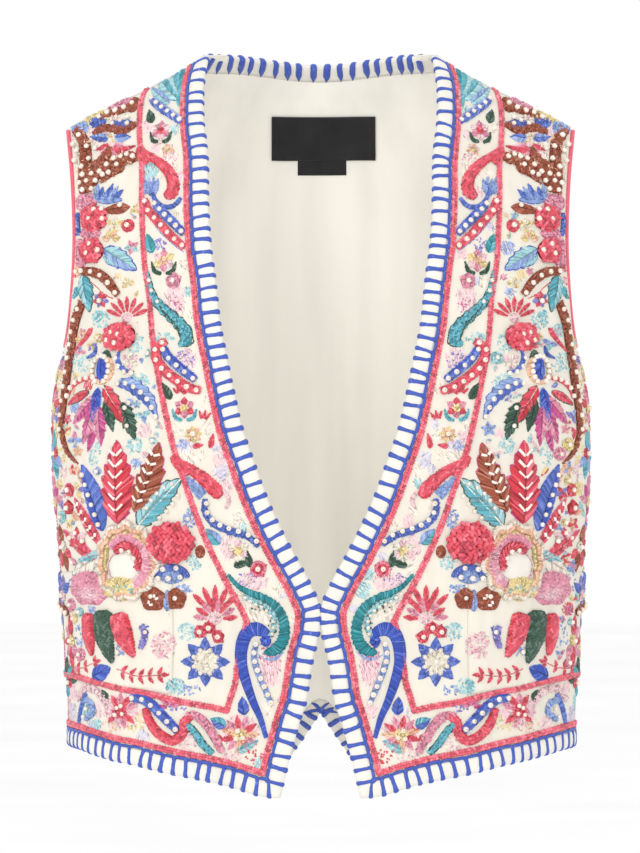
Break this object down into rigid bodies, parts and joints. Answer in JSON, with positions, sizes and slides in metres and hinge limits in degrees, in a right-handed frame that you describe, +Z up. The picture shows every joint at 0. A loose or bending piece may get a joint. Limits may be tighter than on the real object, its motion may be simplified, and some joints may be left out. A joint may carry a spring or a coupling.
{
  "type": "embroidered waistcoat",
  "caption": "Hollow worn waistcoat in ivory cloth, open front, blue blanket-stitched edges, coral braid and raised multicolour floral embroidery with beads.",
  "frame": {"origin": "Midway between the two points where the shoulders meet the neck, where the wearer holds it.", "axes": "+Z up, -Y the front of the garment, +X the wearer's left, to the right in the picture."},
  "size_m": [0.381, 0.2225, 0.5226],
  "materials": {
    "ivory_cloth": "matte",
    "lining_cloth": "satin",
    "coral_thread": "satin",
    "black_label": "satin",
    "mixed_embroidery": "satin"
  },
  "bodies": {
    "root": {"front_left": "ivory_cloth", "front_right": "ivory_cloth", "back": "ivory_cloth", "back_lining": "lining_cloth", "edge_band_left": "ivory_cloth", "edge_band_right": "ivory_cloth", "back_neck_band": "ivory_cloth", "back_hem_band": "ivory_cloth", "label": "black_label", "label_tab": "black_label", "outer_braid_left": "coral_thread", "outer_braid_right": "coral_thread", "inner_braid_left": "coral_thread", "inner_braid_right": "coral_thread", "armhole_piping_left": "coral_thread", "armhole_piping_right": "coral_thread", "pocket_left": "ivory_cloth", "pocket_right": "ivory_cloth", "flower_left": "mixed_embroidery", "flower_right": "mixed_embroidery", "bloom_left": "mixed_embroidery", "bloom_right": "mixed_embroidery", "coral_leaf_left": "mixed_embroidery", "coral_leaf_right": "mixed_embroidery", "rust_leaf_left": "mixed_embroidery", "rust_leaf_right": "mixed_embroidery", "turquoise_leaf_left": "mixed_embroidery", "turquoise_leaf_right": "mixed_embroidery", "blue_leaf_left": "mixed_embroidery", "blue_leaf_right": "mixed_embroidery", "pink_leaf_left": "mixed_embroidery", "pink_leaf_right": "mixed_embroidery", "rosette_left": "mixed_embroidery", "rosette_right": "mixed_embroidery", "berries_left": "mixed_embroidery", "berries_right": "mixed_embroidery", "pocket_tuft_left": "mixed_embroidery", "pocket_tuft_right": "mixed_embroidery", "teal_paisley_left": "mixed_embroidery", "teal_paisley_right": "mixed_embroidery", "blue_paisley_left": "mixed_embroidery", "blue_paisley_right": "mixed_embroidery"}
  },
  "joints": []
}
